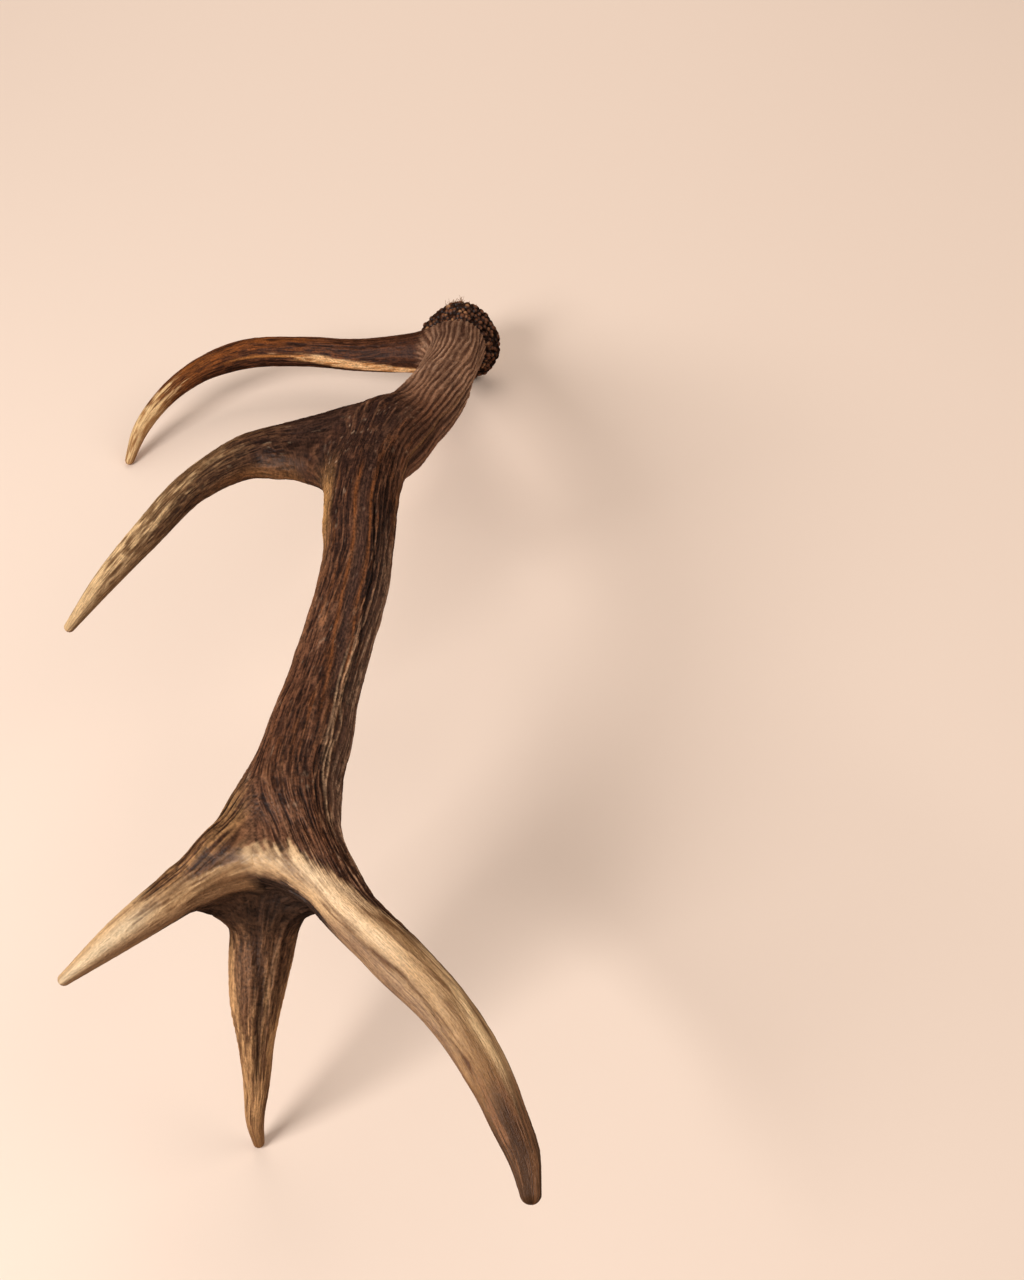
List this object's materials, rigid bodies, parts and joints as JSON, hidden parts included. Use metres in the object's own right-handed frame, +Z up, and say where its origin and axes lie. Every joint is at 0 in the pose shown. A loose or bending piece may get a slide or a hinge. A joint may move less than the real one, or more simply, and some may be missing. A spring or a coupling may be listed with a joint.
{
  "type": "deer antler",
  "caption": "Branched antler of a red deer with a pearled burr, a brow tine, a trez tine and a three-pointed crown, lying on its burr and two of its tines.",
  "frame": {"origin": "on the surface it lies on, under the middle of its length and width", "axes": "+Y from the crown to the burr, +Z up from the surface, +X to the side away from the brow and trez tines"},
  "size_m": [0.3194, 0.7664, 0.2149],
  "materials": {
    "dark_bone": "satin",
    "red_bone": "satin",
    "tan_bone": "satin"
  },
  "bodies": {
    "root": {"lower_beam": "dark_bone", "upper_beam": "dark_bone", "brow_tine": "red_bone", "trez_tine": "dark_bone", "crown_front_tine": "tan_bone", "crown_middle_tine": "dark_bone", "crown_rear_tine": "tan_bone"}
  },
  "joints": []
}
